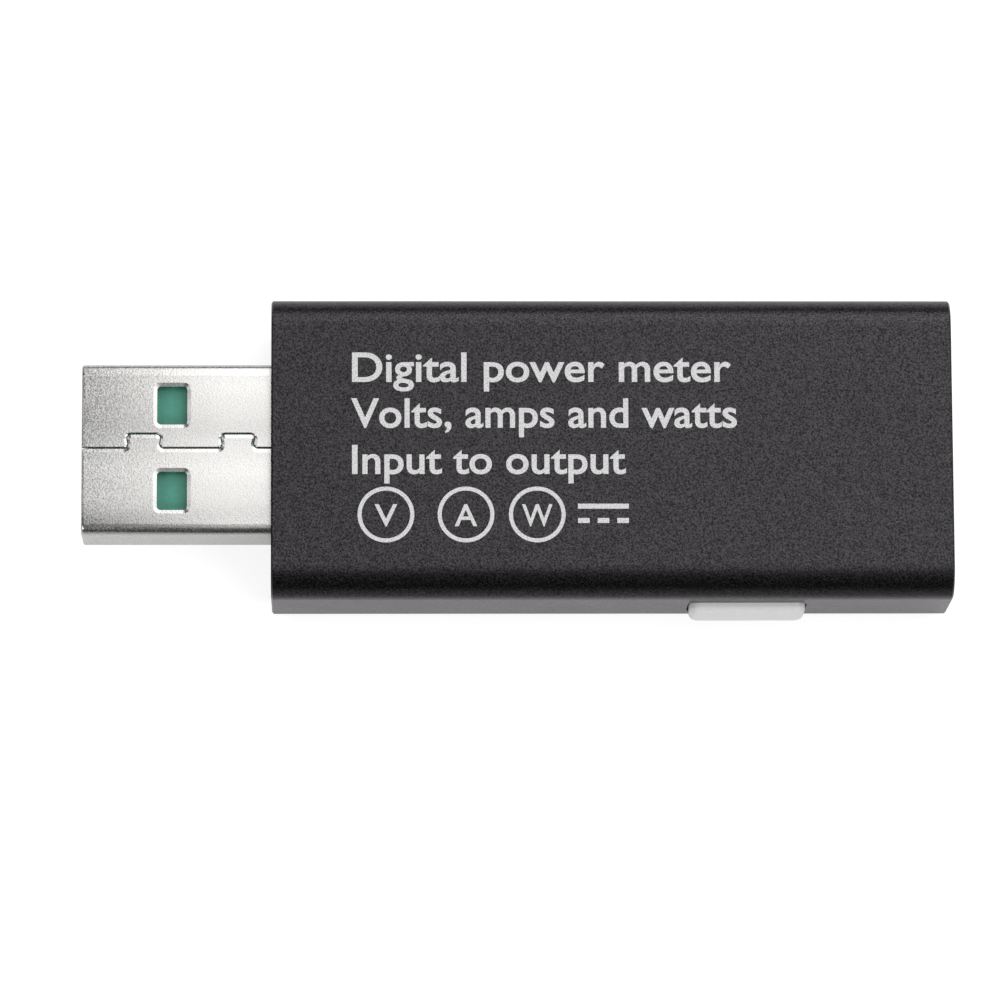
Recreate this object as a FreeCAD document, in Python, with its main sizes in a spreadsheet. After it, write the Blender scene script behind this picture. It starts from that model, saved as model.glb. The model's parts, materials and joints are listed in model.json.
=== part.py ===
import FreeCAD, Part
import math
import os
import re
import Sketcher

# USB power meter: an extruded aluminium tube with a USB-A plug at one end and a sunk USB-A socket at the
# other, a small display under a lens on one broad face, and a sprung button on one narrow side.
#
# Frame: +Z up, millimetres. The meter lies on its display face at z = 0, with the label face on top. The
# plug points along -X and the button along -Y. The origin is the middle of the footprint, on the ground.
# The pieces are drawn about the middle of the housing, and finish() carries each one to the origin.

SIZES = {
    # Housing tube
    "housing_length": 47.0,
    "housing_width": 21.0,
    "housing_height": 9.8,
    "housing_corner": 2.1,
    "wall": 1.0,
    "bore_corner": 0.9,
    "edge_break": 0.12,
    "ledge_width": 0.6,
    "ledge_height": 0.55,
    # End caps
    "cap_thickness": 1.2,
    "cap_recess": 0.2,
    "cap_gap": 0.05,
    # Display lens in its recess
    "display_x": -4.0,
    "recess_length": 27.5,
    "recess_width": 14.0,
    "recess_depth": 0.7,
    "recess_corner": 1.0,
    "window_length": 24.4,
    "window_width": 11.6,
    "window_corner": 0.5,
    "lens_gap": 0.1,
    "lens_thickness": 0.5,
    "lens_tape": 0.14,
    "lens_tape_margin": 0.1,
    # Display module, front to back
    "module_gap": 0.04,
    "polariser_length": 22.8,
    "polariser_width": 12.2,
    "polariser_thickness": 0.12,
    "glass_length": 23.4,
    "glass_width": 13.3,
    "glass_thickness": 0.3,
    "glass_ledge": 3.2,
    "driver_length": 9.0,
    "driver_width": 0.8,
    "driver_thickness": 0.25,
    "driver_inset": 1.3,
    "tray_width": 13.5,
    "tray_thickness": 0.76,
    "tray_rim": 0.3,
    "tray_well_length": 23.0,
    "tray_well_width": 12.3,
    "tray_well_depth": 0.46,
    "guide_length": 22.2,
    "guide_thickness": 0.44,
    "guide_gap": 0.05,
    "lamp_length": 1.6,
    "lamp_width": 0.5,
    "lamp_pitch": 4.0,
    "foam_length": 20.0,
    "foam_width": 10.0,
    "flex_width": 9.0,
    "flex_thickness": 0.1,
    "flex_bond": 0.9,
    "flex_reach": 0.8,
    "flex_rise": 0.6,
    "flex_foot": 1.3,
    # Circuit board
    "board_length": 44.0,
    "board_width": 18.7,
    "board_bottom": 2.65,
    "board_thickness": 1.0,
    "board_gap": 0.1,
    # Plug
    "plug_reach": 13.1,
    "plug_inside": 5.9,
    "plug_width": 12.0,
    "plug_height": 4.5,
    "plug_corner": 0.5,
    "shell_sheet": 0.3,
    "plug_bore_corner": 0.2,
    "plug_lead_in": 0.1,
    "window_x_from_tip": 6.25,
    "window_y": 0.08,
    "plug_window_length": 2.08,
    "plug_window_width": 2.68,
    "plug_window_pitch": 6.0,
    "plug_window_corner": 0.25,
    "shell_nose": 0.18,
    "rim_width": 0.26,
    "rim_depth": 0.095,
    "seam_y": 0.07,
    "seam_kerf": 0.08,
    "lip_width": 0.16,
    "lip_depth": 0.07,
    "lip_lean": 0.1,
    "dovetail_pitch": 6.5,
    "dovetail_first": 4.29,
    "dovetail_neck": 2.07,
    "dovetail_head": 2.45,
    "dovetail_height": 1.0,
    "dovetail_round": 0.3,
    "leg_length": 2.0,
    "leg_drop": 1.05,
    "leg_from_back": 1.2,
    "leg_slot_gap": 0.15,
    "plug_insulator_recess": 0.4,
    "plug_insulator_thickness": 1.92,
    "plug_insulator_gap": 0.03,
    "latch_recess_depth": 0.45,
    "latch_recess_gap": 0.15,
    "plug_block_length": 3.0,
    "contact_width": 1.0,
    "contact_thickness": 0.28,
    "contact_proud": 0.08,
    "contact_gap": 0.05,
    "power_contact_y": 3.5,
    "data_contact_y": 1.0,
    "power_contact_from_tip": 1.1,
    "data_contact_from_tip": 2.1,
    "contact_tail_x": 0.2,
    "contact_foot": 1.5,
    # Socket
    "socket_width": 13.1,
    "socket_height": 5.72,
    "socket_length": 10.9,
    "socket_inset": 0.05,
    "socket_corner": 0.5,
    "socket_bore_corner": 0.2,
    "socket_block_length": 1.6,
    "socket_block_inset": 0.2,
    "tongue_width": 11.1,
    "tongue_thickness": 1.84,
    "tongue_bottom": 2.95,
    "tongue_recess": 0.5,
    "tongue_groove_depth": 0.6,
    "spring_thickness": 0.2,
    "spring_lift": 0.35,
    "spring_crest_start": 0.45,
    "spring_crest_end": 0.65,
    "spring_tip_recess": 1.2,
    "spring_foot": 1.3,
    "finger_width": 1.8,
    "finger_gap": 0.2,
    "finger_pitch": 6.6,
    "finger_root": 2.6,
    "finger_length": 6.3,
    "finger_dip": 0.28,
    "finger_tip": 0.8,
    "ear_length": 1.6,
    "ear_reach": 1.4,
    "ear_first": 2.0,
    "ear_second": 6.5,
    # Button
    "button_x": 9.42,
    "button_z": 4.6,
    "button_length": 8.0,
    "button_height": 3.6,
    "button_proud": 0.7,
    "button_corner": 0.8,
    "button_edge": 0.45,
    "button_gap": 0.12,
    "flange_length": 9.8,
    "flange_height": 3.84,
    "flange_thickness": 0.6,
    "flange_gap": 0.05,
    "button_travel": 0.25,
    "notch_gap": 0.15,
    # Tactile switch behind the button
    "switch_length": 4.7,
    "switch_height": 1.65,
    "switch_depth": 3.35,
    "switch_front": 1.2,
    "switch_sheet": 0.15,
    "switch_well_length": 3.0,
    "switch_well_height": 1.0,
    "switch_well_depth": 2.4,
    "stem_length": 1.5,
    "stem_height": 0.8,
    "stem_gap": 0.1,
    "plunger_flange_length": 2.6,
    "plunger_flange_thickness": 0.5,
    "plunger_gap": 0.03,
    "leaf_length": 2.6,
    "leaf_flat": 1.2,
    "leaf_rise": 0.3,
    "leaf_thickness": 0.06,
    "leaf_width": 0.8,
    "terminal_length": 0.5,
    "terminal_width": 0.6,
    "terminal_thickness": 0.15,
    "terminal_pitch": 1.7,
    # Parts on the board
    "chip_standoff": 0.1,
    "chip_chamfer": 0.12,
    "lead_thickness": 0.15,
    "lead_width": 0.35,
    "lead_reach": 1.0,
    "lead_foot": 0.5,
    "chip_end_metal": 0.35,
    "meter_chip_x": -9.0,
    "meter_chip_y": 3.6,
    "meter_chip_length": 6.5,
    "meter_chip_width": 4.4,
    "meter_chip_height": 0.95,
    "meter_chip_pitch": 0.65,
    "memory_chip_x": -0.6,
    "memory_chip_y": 4.6,
    "memory_chip_length": 4.9,
    "memory_chip_width": 3.9,
    "memory_chip_height": 1.4,
    "memory_chip_pitch": 1.27,
    "regulator_chip_x": -2.5,
    "regulator_chip_y": -5.6,
    "regulator_chip_length": 2.9,
    "regulator_chip_width": 1.6,
    "regulator_chip_height": 1.0,
    "regulator_chip_pitch": 0.95,
    "supply_diode_x": -8.0,
    "supply_diode_y": -6.6,
    "supply_diode_length": 4.3,
    "supply_diode_width": 2.6,
    "supply_diode_height": 2.0,
    "diode_tab_width": 1.5,
    "diode_tab_reach": 0.5,
    "inductor_x": 2.2,
    "inductor_y": -2.0,
    "inductor_width": 4.0,
    "inductor_height": 2.0,
    "shunt_x": -12.0,
    "shunt_y": -2.0,
    "shunt_length": 6.8,
    "shunt_width": 3.2,
    "shunt_thickness": 0.3,
    "shunt_foot": 1.2,
    "shunt_rise": 0.4,
    "shunt_bend_shift": 0.1,
    "capacitor_length": 1.6,
    "capacitor_width": 0.8,
    "capacitor_height": 0.8,
    "resistor_length": 1.6,
    "resistor_width": 0.8,
    "resistor_height": 0.45,
    # Insulating sheet
    "sheet_x": -3.0,
    "sheet_length": 27.0,
    "sheet_width": 17.0,
    "sheet_thickness": 0.1,
    "sheet_gap": 0.05,
}

# Middles of the small two-ended parts on the board, which go in the sheet one by one
CAPACITOR_PLACES = ((-14.0, 7.6), (-4.0, 7.9), (4.0, 7.9), (-4.6, 1.0), (-12.6, -6.6), (6.0, 2.0))
RESISTOR_PLACES = (
    (-14.0, 6.2),
    (-14.0, 4.8),
    (-4.6, -0.6),
    (-4.6, -2.0),
    (-4.6, 2.4),
    (6.0, 3.6),
    (6.0, 5.2),
    (8.5, 2.0),
)
for kind, places in (("capacitor", CAPACITOR_PLACES), ("resistor", RESISTOR_PLACES)):
    for number, (middle_x, middle_y) in enumerate(places, 1):
        SIZES[f"{kind}_x_{number}"] = middle_x
        SIZES[f"{kind}_y_{number}"] = middle_y

X = FreeCAD.Vector(1, 0, 0)
Y = FreeCAD.Vector(0, 1, 0)
Z = FreeCAD.Vector(0, 0, 1)

# An edge this near to a plane lies in it
NEAR = 0.01
# Radius of the regular polygon that every sketched outline starts as
START_RADIUS = 5
# A pocket takes away at least this volume
LEAST_CUT = 1e-4

# Levels and faces that several pieces share, as expressions on the sheet
BOARD_TOP = "(board_bottom + board_thickness)"
PLUG_TIP = "(-housing_length / 2 - plug_reach)"
PLUG_BACK = "(-housing_length / 2 + plug_inside)"
PLUG_AXIS_Z = f"({BOARD_TOP} + plug_height / 2)"
PLUG_FLOOR = f"({BOARD_TOP} + shell_sheet)"
PLUG_ROOF = f"({BOARD_TOP} + plug_height - shell_sheet)"
SOCKET_FRONT = "(housing_length / 2 - socket_inset)"
SOCKET_BACK = f"({SOCKET_FRONT} - socket_length)"
SOCKET_AXIS_Z = "(housing_height / 2)"
TONGUE_TOP = "(tongue_bottom + tongue_thickness)"
BORE_HALF_WIDTH = "(housing_width / 2 - wall)"
SWITCH_FACE_Y = f"(-{BORE_HALF_WIDTH} + switch_front)"
FLANGE_BACK_Y = f"(-{BORE_HALF_WIDTH} + flange_gap + flange_thickness)"
POLARISER_Z = "(wall + module_gap)"
FRONT_GLASS_Z = f"({POLARISER_Z} + polariser_thickness)"
REAR_GLASS_Z = f"({FRONT_GLASS_Z} + glass_thickness)"
TRAY_Z = f"({REAR_GLASS_Z} + glass_thickness)"
TRAY_BACK_Z = f"({TRAY_Z} + tray_thickness)"
GLASS_LEFT = "(display_x - glass_length / 2 - glass_ledge)"

doc = FreeCAD.newDocument("usb_power_meter")
sheet = doc.addObject("Spreadsheet::Sheet", "Sheet")
for row, (alias, number) in enumerate(SIZES.items(), 1):
    sheet.set(f"A{row}", alias)
    sheet.set(f"B{row}", str(number))
    sheet.setAlias(f"B{row}", alias)
doc.recompute()

finished = []


# ---------------------------------------------------------------- helpers


def bind(target, prop, text):
    """Bind a property to an expression written with the sheet's aliases."""
    on_sheet = re.sub(r"[a-z]\w*", lambda word: f"Sheet.{word.group()}", text)
    target.setExpression(prop, on_sheet)


def rectangle(low_u, low_v, high_u, high_v):
    return [(low_u, low_v), (high_u, low_v), (high_u, high_v), (low_u, high_v)]


def centred(middle_u, middle_v, length, height):
    """A rectangle about a middle point, as four corner expressions."""
    return rectangle(
        f"({middle_u}) - ({length}) / 2",
        f"({middle_v}) - ({height}) / 2",
        f"({middle_u}) + ({length}) / 2",
        f"({middle_v}) + ({height}) / 2",
    )


def new_body(name):
    body = doc.addObject("PartDesign::Body", name)
    body.AllowCompound = True
    return body


def origin_part(body, role):
    return next(item for item in body.Origin.OriginFeatures if item.Role == role)


def draw(body, role, outlines, level="0"):
    """A sketch of closed outlines on an origin plane of the body, every corner bound to the sheet."""
    sketch = body.newObject("Sketcher::SketchObject", f"{body.Name}_sketch")
    sketch.AttachmentSupport = [(origin_part(body, role), "")]
    sketch.MapMode = "FlatFace"
    bind(sketch, "AttachmentOffset.Base.z", level)
    first = 0
    for outline in outlines:
        count = len(outline)
        spokes = [X * START_RADIUS]
        for _ in range(count - 1):
            turned = FreeCAD.Rotation(Z, 360 / count).multVec(spokes[-1])
            spokes.append(turned)
        for index in range(count):
            sketch.addGeometry(Part.LineSegment(spokes[index], spokes[(index + 1) % count]), False)
        for index, (across, up) in enumerate(outline):
            line = first + index
            following = first + (index + 1) % count
            sketch.addConstraint(Sketcher.Constraint("Coincident", line, 2, following, 1))
            spoke = spokes[index]
            for kind, place, text in (("DistanceX", spoke.x, across), ("DistanceY", spoke.y, up)):
                constraint = sketch.addConstraint(Sketcher.Constraint(kind, -1, 1, line, 1, place))
                bind(sketch, f"Constraints[{constraint}]", text)
        first += count
    return sketch


def pad(body, sketch, length, midplane=False, backwards=False):
    feature = body.newObject("PartDesign::Pad", f"{body.Name}_pad")
    feature.Profile = sketch
    feature.Midplane = midplane
    feature.Reversed = backwards
    bind(feature, "Length", length)
    doc.recompute()
    return feature


def pocket(body, sketch, depth, midplane=False, with_normal=False):
    """Cut a sketch into the body, against the plane's normal unless with_normal is set."""
    before = body.Shape.Volume
    feature = body.newObject("PartDesign::Pocket", f"{body.Name}_pocket")
    feature.Profile = sketch
    feature.Midplane = midplane
    feature.Reversed = with_normal
    bind(feature, "Length", depth)
    doc.recompute()
    if body.Shape.Volume > before - LEAST_CUT:
        raise RuntimeError(f"{feature.Name} cuts nothing")
    return feature


def edges_where(shape, accept):
    """Names of the shape's accepted edges."""
    return [f"Edge{number}" for number, edge in enumerate(shape.Edges, 1) if accept(edge)]


def straight_edges(shape, direction, accept):
    """Names of the straight edges along a direction whose middle point is accepted."""

    def accepted(edge):
        if edge.Curve.TypeId != "Part::GeomLine":
            return False
        across = edge.tangentAt(edge.FirstParameter).cross(direction).Length
        return across < NEAR and accept(edge.CenterOfMass)

    return edges_where(shape, accepted)


def outside_wall(edge, width, height, middle_z, wall):
    """True if the edge isn't on the inner side of a wall that runs round a rectangle in Y and Z."""
    middle = edge.valueAt((edge.FirstParameter + edge.LastParameter) / 2)
    inside_y = abs(middle.y) < width / 2 - wall + NEAR
    inside_z = abs(middle.z - middle_z) < height / 2 - wall + NEAR
    return not (inside_y and inside_z)


def dress(body, kind, prop, size, direction, accept=lambda middle: True):
    """Fillet or chamfer the body's straight edges along a direction."""
    names = straight_edges(body.Tip.Shape, direction, accept)
    return dress_edges(body, kind, prop, size, names)


def dress_edges(body, kind, prop, size, names):
    """Fillet or chamfer the named edges of the body's last feature."""
    if not names:
        raise RuntimeError(f"{body.Name} has no edge to {kind.lower()}")
    base = body.Tip
    feature = body.newObject(f"PartDesign::{kind}", f"{body.Name}_{kind.lower()}")
    feature.Base = (base, names)
    bind(feature, prop, size)
    doc.recompute()
    if "Invalid" in feature.State:
        raise RuntimeError(f"{feature.Name} failed")
    return feature


def fillet(body, radius, direction, accept=lambda middle: True):
    return dress(body, "Fillet", "Radius", radius, direction, accept)


def chamfer(body, size, direction, accept=lambda middle: True):
    return dress(body, "Chamfer", "Size", size, direction, accept)


def box(name, low, high):
    """A box between two corners, each given as three expressions."""
    solid = doc.addObject("Part::Box", name)
    for axis, side, start, end in zip("xyz", ("Length", "Width", "Height"), low, high):
        bind(solid, f"Placement.Base.{axis}", start)
        bind(solid, side, f"({end}) - ({start})")
    return solid


def group(name, solids):
    compound = doc.addObject("Part::Compound", name)
    compound.Links = solids
    return compound


def finish(label, piece):
    """Name a finished piece and carry it from the housing's middle to the meter's origin."""
    piece.Label = label
    bound = {path.lstrip("."): text for path, text in piece.ExpressionEngine}
    for axis, shift in (("x", "Sheet.plug_reach / 2"), ("y", "Sheet.button_proud / 2")):
        path = f"Placement.Base.{axis}"
        start = bound.get(path, "0")
        piece.setExpression(path, f"{start} + {shift}")
    finished.append(piece)


def plate(label, middle_x, middle_y, length, width, low_z, thickness, corner=None):
    """A flat piece lying level, with rounded corners if a radius is given."""
    body = new_body(label)
    pad(body, draw(body, "XY_Plane", [centred(middle_x, middle_y, length, width)], low_z), thickness)
    if corner:
        fillet(body, corner, Z)
    finish(label, body)
    return body


# ---------------------------------------------------------------- housing


def housing_tube():
    """The extrusion: rounded outside, square bore, two ledges for the board, lens recess, button slot."""
    body = new_body("housing_tube")
    outside = centred("0", "housing_height / 2", "housing_width", "housing_height")
    pad(body, draw(body, "YZ_Plane", [outside]), "housing_length", midplane=True)
    fillet(body, "housing_corner", X)
    bore = centred("0", "housing_height / 2", "housing_width - 2 * wall", "housing_height - 2 * wall")
    pocket(body, draw(body, "YZ_Plane", [bore]), "housing_length", midplane=True)
    half_bore = sheet.housing_width / 2 - sheet.wall
    fillet(body, "bore_corner", X, lambda middle: abs(abs(middle.y) - half_bore) < NEAR)
    ledge_top = "board_bottom - cap_gap"
    ledges = [
        rectangle(
            f"{side} * {BORE_HALF_WIDTH} - {side} * ledge_width",
            f"{ledge_top} - ledge_height",
            f"{side} * {BORE_HALF_WIDTH} + {side} * wall / 2",
            ledge_top,
        )
        for side in (-1, 1)
    ]
    pad(body, draw(body, "YZ_Plane", ledges), "housing_length", midplane=True)
    recess = centred("display_x", "0", "recess_length", "recess_width")
    pocket(body, draw(body, "XY_Plane", [recess]), "recess_depth", with_normal=True)
    half_recess = sheet.recess_width / 2
    fillet(body, "recess_corner", Z, lambda middle: abs(abs(middle.y) - half_recess) < NEAR)
    window = centred("display_x", "0", "window_length", "window_width")
    pocket(body, draw(body, "XY_Plane", [window]), "wall + edge_break", with_normal=True)
    half_window = sheet.window_width / 2
    fillet(body, "window_corner", Z, lambda middle: abs(abs(middle.y) - half_window) < NEAR)
    slot = centred(
        "button_x",
        "button_z",
        "button_length + 2 * button_gap",
        "button_height + 2 * button_gap",
    )
    pocket(body, draw(body, "XZ_Plane", [slot]), "housing_width", with_normal=True)
    fillet(body, "button_corner", Y, lambda middle: middle.y < -half_bore)

    width, height = sheet.housing_width, sheet.housing_height

    def at_end(edge):
        in_end = abs(abs(edge.CenterOfMass.x) - sheet.housing_length / 2) < NEAR
        return in_end and outside_wall(edge, width, height, height / 2, sheet.wall)

    dress_edges(body, "Chamfer", "Size", "edge_break", edges_where(body.Shape, at_end))
    finish("housing_tube", body)


def end_cap(label, low_x, hole_z, hole_width, hole_height, hole_corner):
    """A flat plastic cap in the end of the tube, notched over the board ledges, with one opening."""
    body = new_body(label)
    half = f"({BORE_HALF_WIDTH} - cap_gap)"
    notch = f"({BORE_HALF_WIDTH} - ledge_width - cap_gap)"
    low = "wall + cap_gap"
    high = "housing_height - wall - cap_gap"
    notch_low = "board_bottom - 2 * cap_gap - ledge_height"
    notch_high = "board_bottom"
    right = [
        (half, low),
        (half, notch_low),
        (notch, notch_low),
        (notch, notch_high),
        (half, notch_high),
        (half, high),
    ]
    left = [(f"-{across}", up) for across, up in reversed(right)]
    pad(body, draw(body, "YZ_Plane", [right + left], low_x), "cap_thickness")
    corner_y = sheet.housing_width / 2 - sheet.wall - sheet.cap_gap
    corner_z = sheet.housing_height / 2 - sheet.wall - sheet.cap_gap
    middle_z = sheet.housing_height / 2

    def at_corner(middle):
        off_corner = max(abs(abs(middle.y) - corner_y), abs(abs(middle.z - middle_z) - corner_z))
        return off_corner < NEAR

    fillet(body, "bore_corner", X, at_corner)
    hole = centred("0", hole_z, f"{hole_width} + 2 * cap_gap", f"{hole_height} + 2 * cap_gap")
    pocket(body, draw(body, "YZ_Plane", [hole], low_x), "cap_thickness", with_normal=True)
    hole_y = sheet.get(hole_width) / 2 + sheet.cap_gap
    fillet(body, hole_corner, X, lambda middle: abs(abs(middle.y) - hole_y) < NEAR)
    finish(label, body)


# ---------------------------------------------------------------- display


def display():
    """Lens, its tape, and the display module behind the window, all centred on display_x."""
    plate(
        "display_lens",
        "display_x",
        "0",
        "recess_length - 2 * lens_gap",
        "recess_width - 2 * lens_gap",
        "recess_depth - lens_tape - lens_thickness",
        "lens_thickness",
        "recess_corner - lens_gap",
    )
    ring = new_body("lens_tape")
    outer = centred(
        "display_x",
        "0",
        "recess_length - 2 * lens_gap - 2 * lens_tape_margin",
        "recess_width - 2 * lens_gap - 2 * lens_tape_margin",
    )
    inner = centred(
        "display_x",
        "0",
        "window_length + 2 * lens_tape_margin",
        "window_width + 2 * lens_tape_margin",
    )
    pad(ring, draw(ring, "XY_Plane", [outer, inner], "recess_depth - lens_tape"), "lens_tape")
    fillet(ring, "recess_corner - lens_gap - lens_tape_margin", Z)
    finish("lens_tape", ring)
    plate(
        "display_polariser",
        "display_x",
        "0",
        "polariser_length",
        "polariser_width",
        POLARISER_Z,
        "polariser_thickness",
    )
    plate(
        "display_front_glass",
        "display_x",
        "0",
        "glass_length",
        "glass_width",
        FRONT_GLASS_Z,
        "glass_thickness",
    )
    rear_middle = "display_x - glass_ledge / 2"
    plate(
        "display_rear_glass",
        rear_middle,
        "0",
        "glass_length + glass_ledge",
        "glass_width",
        REAR_GLASS_Z,
        "glass_thickness",
    )
    plate(
        "display_driver_chip",
        f"{GLASS_LEFT} + driver_inset + driver_width / 2",
        "0",
        "driver_width",
        "driver_length",
        f"{REAR_GLASS_Z} - driver_thickness",
        "driver_thickness",
    )


def backlight():
    """A shallow tray behind the glass, with a light guide and three lamps in its well."""
    tray = new_body("backlight_tray")
    floor = centred(
        "display_x - glass_ledge / 2",
        "0",
        "glass_length + glass_ledge + tray_rim",
        "tray_width",
    )
    pad(tray, draw(tray, "XY_Plane", [floor], TRAY_Z), "tray_thickness")
    well = centred("display_x", "0", "tray_well_length", "tray_well_width")
    pocket(tray, draw(tray, "XY_Plane", [well], TRAY_Z), "tray_well_depth", with_normal=True)
    finish("backlight_tray", tray)
    well_left = "(display_x - tray_well_length / 2)"
    plate(
        "light_guide",
        "display_x + tray_well_length / 2 - guide_gap - guide_length / 2",
        "0",
        "guide_length",
        "tray_well_width - 2 * guide_gap",
        TRAY_Z,
        "guide_thickness",
    )
    lamps = []
    for place in (-1, 0, 1):
        left = f"{well_left} + guide_gap"
        middle = f"{place} * lamp_pitch"
        low = (left, f"{middle} - lamp_length / 2", TRAY_Z)
        high = (f"{left} + lamp_width", f"{middle} + lamp_length / 2", f"{TRAY_Z} + guide_thickness")
        lamps.append(box(f"backlight_lamp_{place + 2}", low, high))
    finish("backlight_lamps", group("backlight_lamps", lamps))
    plate(
        "display_foam_tape",
        "display_x",
        "0",
        "foam_length",
        "foam_width",
        TRAY_BACK_Z,
        f"board_bottom - {TRAY_BACK_Z}",
    )


def display_flex():
    """The flat ribbon from the glass ledge, round the tray's end, to the underside of the board."""
    body = new_body("display_flex")
    start = f"({GLASS_LEFT} + flex_bond)"
    bend = f"({GLASS_LEFT} - flex_reach)"
    top = f"({bend} - flex_rise)"
    end = f"({top} - flex_foot)"
    low = REAR_GLASS_Z
    high = "board_bottom"
    outline = [
        (start, low),
        (start, f"{low} - flex_thickness"),
        (bend, f"{low} - flex_thickness"),
        (top, f"{high} - flex_thickness"),
        (end, f"{high} - flex_thickness"),
        (end, high),
        (f"{top} + flex_thickness", high),
        (f"{bend} + flex_thickness", low),
    ]
    pad(body, draw(body, "XZ_Plane", [outline]), "flex_width", midplane=True)
    finish("display_flex", body)


# ---------------------------------------------------------------- circuit board


def circuit_board():
    """The board: forked round the sunk socket, notched behind the button, slotted for the plug's legs."""
    body = new_body("circuit_board")
    outline = centred("0", "0", "board_length", "board_width")
    pad(body, draw(body, "XY_Plane", [outline], "board_bottom"), "board_thickness")
    fork = rectangle(
        f"{SOCKET_BACK} - board_gap",
        "-socket_width / 2 - board_gap",
        "board_length",
        "socket_width / 2 + board_gap",
    )
    notch = rectangle(
        "button_x - flange_length / 2 - notch_gap",
        "-board_width",
        "button_x + flange_length / 2 + notch_gap",
        f"{FLANGE_BACK_Y} + button_travel + notch_gap",
    )
    leg_middle = f"{PLUG_BACK} - leg_from_back - leg_length / 2"
    slots = [
        centred(
            leg_middle,
            f"{side} * (plug_width - shell_sheet) / 2",
            "leg_length + 2 * leg_slot_gap",
            "shell_sheet + 2 * leg_slot_gap",
        )
        for side in (-1, 1)
    ]
    cuts = draw(body, "XY_Plane", [fork, notch] + slots, "board_bottom")
    pocket(body, cuts, "board_thickness", with_normal=True)
    finish("circuit_board", body)


# ---------------------------------------------------------------- plug


def plug_windows(margin="0"):
    """Outlines over the two latch windows, wider than the windows by a margin on every side."""
    return [
        centred(
            f"{PLUG_TIP} + window_x_from_tip",
            f"window_y + {side} * plug_window_pitch / 2",
            f"plug_window_length + 2 * {margin}",
            f"plug_window_width + 2 * {margin}",
        )
        for side in (-1, 1)
    ]


def plug_shell():
    """Rolled sheet round the plug: four latch windows, a dovetailed seam on top, two legs in the board."""
    body = new_body("plug_tube")
    length = "plug_reach + plug_inside"
    outside = centred("0", PLUG_AXIS_Z, "plug_width", "plug_height")
    pad(body, draw(body, "YZ_Plane", [outside], PLUG_TIP), length)
    fillet(body, "plug_corner", X)
    inside = centred("0", PLUG_AXIS_Z, "plug_width - 2 * shell_sheet", "plug_height - 2 * shell_sheet")
    pocket(body, draw(body, "YZ_Plane", [inside], PLUG_TIP), length, with_normal=True)
    bore_y = sheet.plug_width / 2 - sheet.shell_sheet
    fillet(body, "plug_bore_corner", X, lambda middle: abs(abs(middle.y) - bore_y) < NEAR)
    pocket(body, draw(body, "XY_Plane", plug_windows(), PLUG_AXIS_Z), "plug_height", midplane=True)
    tip_x = -sheet.housing_length / 2 - sheet.plug_reach

    def at_window(middle):
        return abs(middle.x - tip_x - sheet.window_x_from_tip) < sheet.plug_window_length

    fillet(body, "plug_window_corner", Z, at_window)
    top_z = body.Shape.BoundBox.ZMax
    rims = straight_edges(body.Shape, X, lambda middle: at_window(middle) and middle.z > top_z - NEAR)
    rim = dress_edges(body, "Chamfer", "Size", "rim_width", rims)
    rim.ChamferType = "Two distances"
    bind(rim, "Size2", "rim_depth")
    width, height = sheet.plug_width, sheet.plug_height

    def at_nose(edge):
        in_tip = edge.BoundBox.XMax < tip_x + NEAR
        return in_tip and outside_wall(edge, width, height, top_z - height / 2, sheet.shell_sheet)

    dress_edges(body, "Fillet", "Radius", "shell_nose", edges_where(body.Shape, at_nose))
    leg_back = f"{PLUG_BACK} - leg_from_back"
    legs = [
        rectangle(
            f"{leg_back} - leg_length",
            f"{side} * plug_width / 2 - {side} * shell_sheet",
            leg_back,
            f"{side} * plug_width / 2",
        )
        for side in (-1, 1)
    ]
    leg_height = f"{PLUG_AXIS_Z} - {BOARD_TOP} + leg_drop"
    pad(body, draw(body, "XY_Plane", legs, PLUG_AXIS_Z), leg_height, backwards=True)
    seamed = doc.addObject("Part::Cut", "plug_shell")
    seamed.Base = body
    seamed.Tool = seam_cutter()
    doc.recompute()
    finish("plug_shell", seamed)


def rounded_path(corners, radius):
    """A wire through the corners, with an arc of the radius at every turn."""
    edges = []
    start = corners[0]
    for before, corner, after in zip(corners, corners[1:], corners[2:]):
        back = (before - corner).normalize()
        on = (after - corner).normalize()
        inward = (back + on).normalize()
        half_angle = inward.getAngle(on)
        entry = corner + back * (radius / math.tan(half_angle))
        leave = corner + on * (radius / math.tan(half_angle))
        crest = corner + inward * (radius / math.sin(half_angle) - radius)
        edges.append(Part.LineSegment(start, entry).toShape())
        edges.append(Part.Arc(entry, crest, leave).toShape())
        start = leave
    edges.append(Part.LineSegment(start, corners[-1]).toShape())
    return Part.Wire(edges)


def seam_corners():
    """Corners of the seam's line along the sheet, straight with a row of dovetails, at z = 0."""
    tip = -sheet.housing_length / 2 - sheet.plug_reach
    back = -sheet.housing_length / 2 + sheet.plug_inside
    neck, head = sheet.dovetail_neck / 2, sheet.dovetail_head / 2
    low = sheet.seam_y
    high = low + sheet.dovetail_height
    corners = [(tip - sheet.wall, low)]
    middle = tip + sheet.dovetail_first
    while middle + sheet.dovetail_head < back:
        corners += [
            (middle - neck, low),
            (middle - head, high),
            (middle + head, high),
            (middle + neck, low),
        ]
        middle += sheet.dovetail_pitch
    corners.append((back + sheet.wall, low))
    return [FreeCAD.Vector(across, up, 0) for across, up in corners]


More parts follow.
